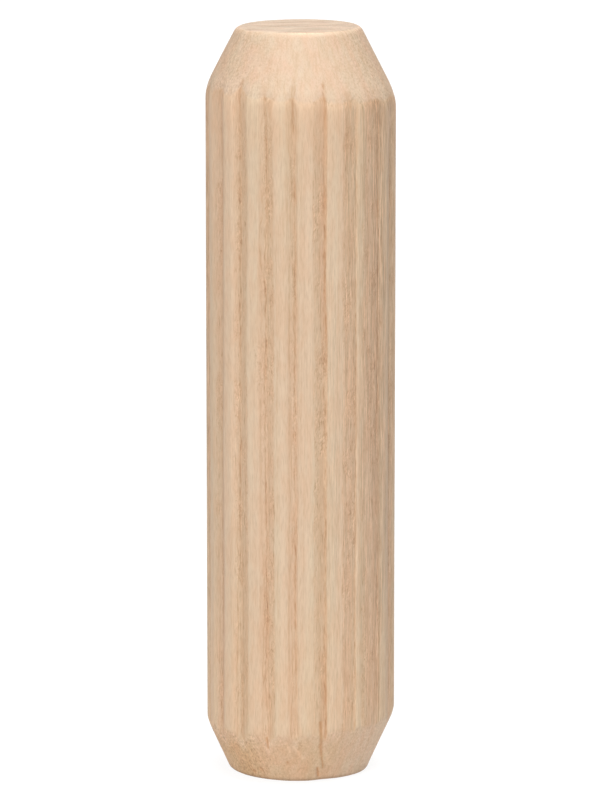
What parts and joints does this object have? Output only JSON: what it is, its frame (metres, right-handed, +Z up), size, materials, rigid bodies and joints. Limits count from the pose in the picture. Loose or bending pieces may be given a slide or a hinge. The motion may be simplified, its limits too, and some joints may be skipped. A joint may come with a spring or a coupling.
{
  "type": "dowel pin",
  "caption": "Fluted wooden dowel pin: a straight round pin with glue flutes along it and a chamfer at each end, for a glued joint.",
  "frame": {"origin": "middle of the flat lower end, on the pin's axis", "axes": "+Z up along the pin's axis, from the wider lower end to the upper end; the middle of one land faces +X, and the chamfers run out of true towards -X"},
  "size_m": [0.01, 0.01, 0.0398],
  "materials": {
    "wood": "bare beech, turned and fluted, with cut end grain"
  },
  "bodies": {
    "root": {"dowel_pin": "wood"}
  },
  "joints": []
}
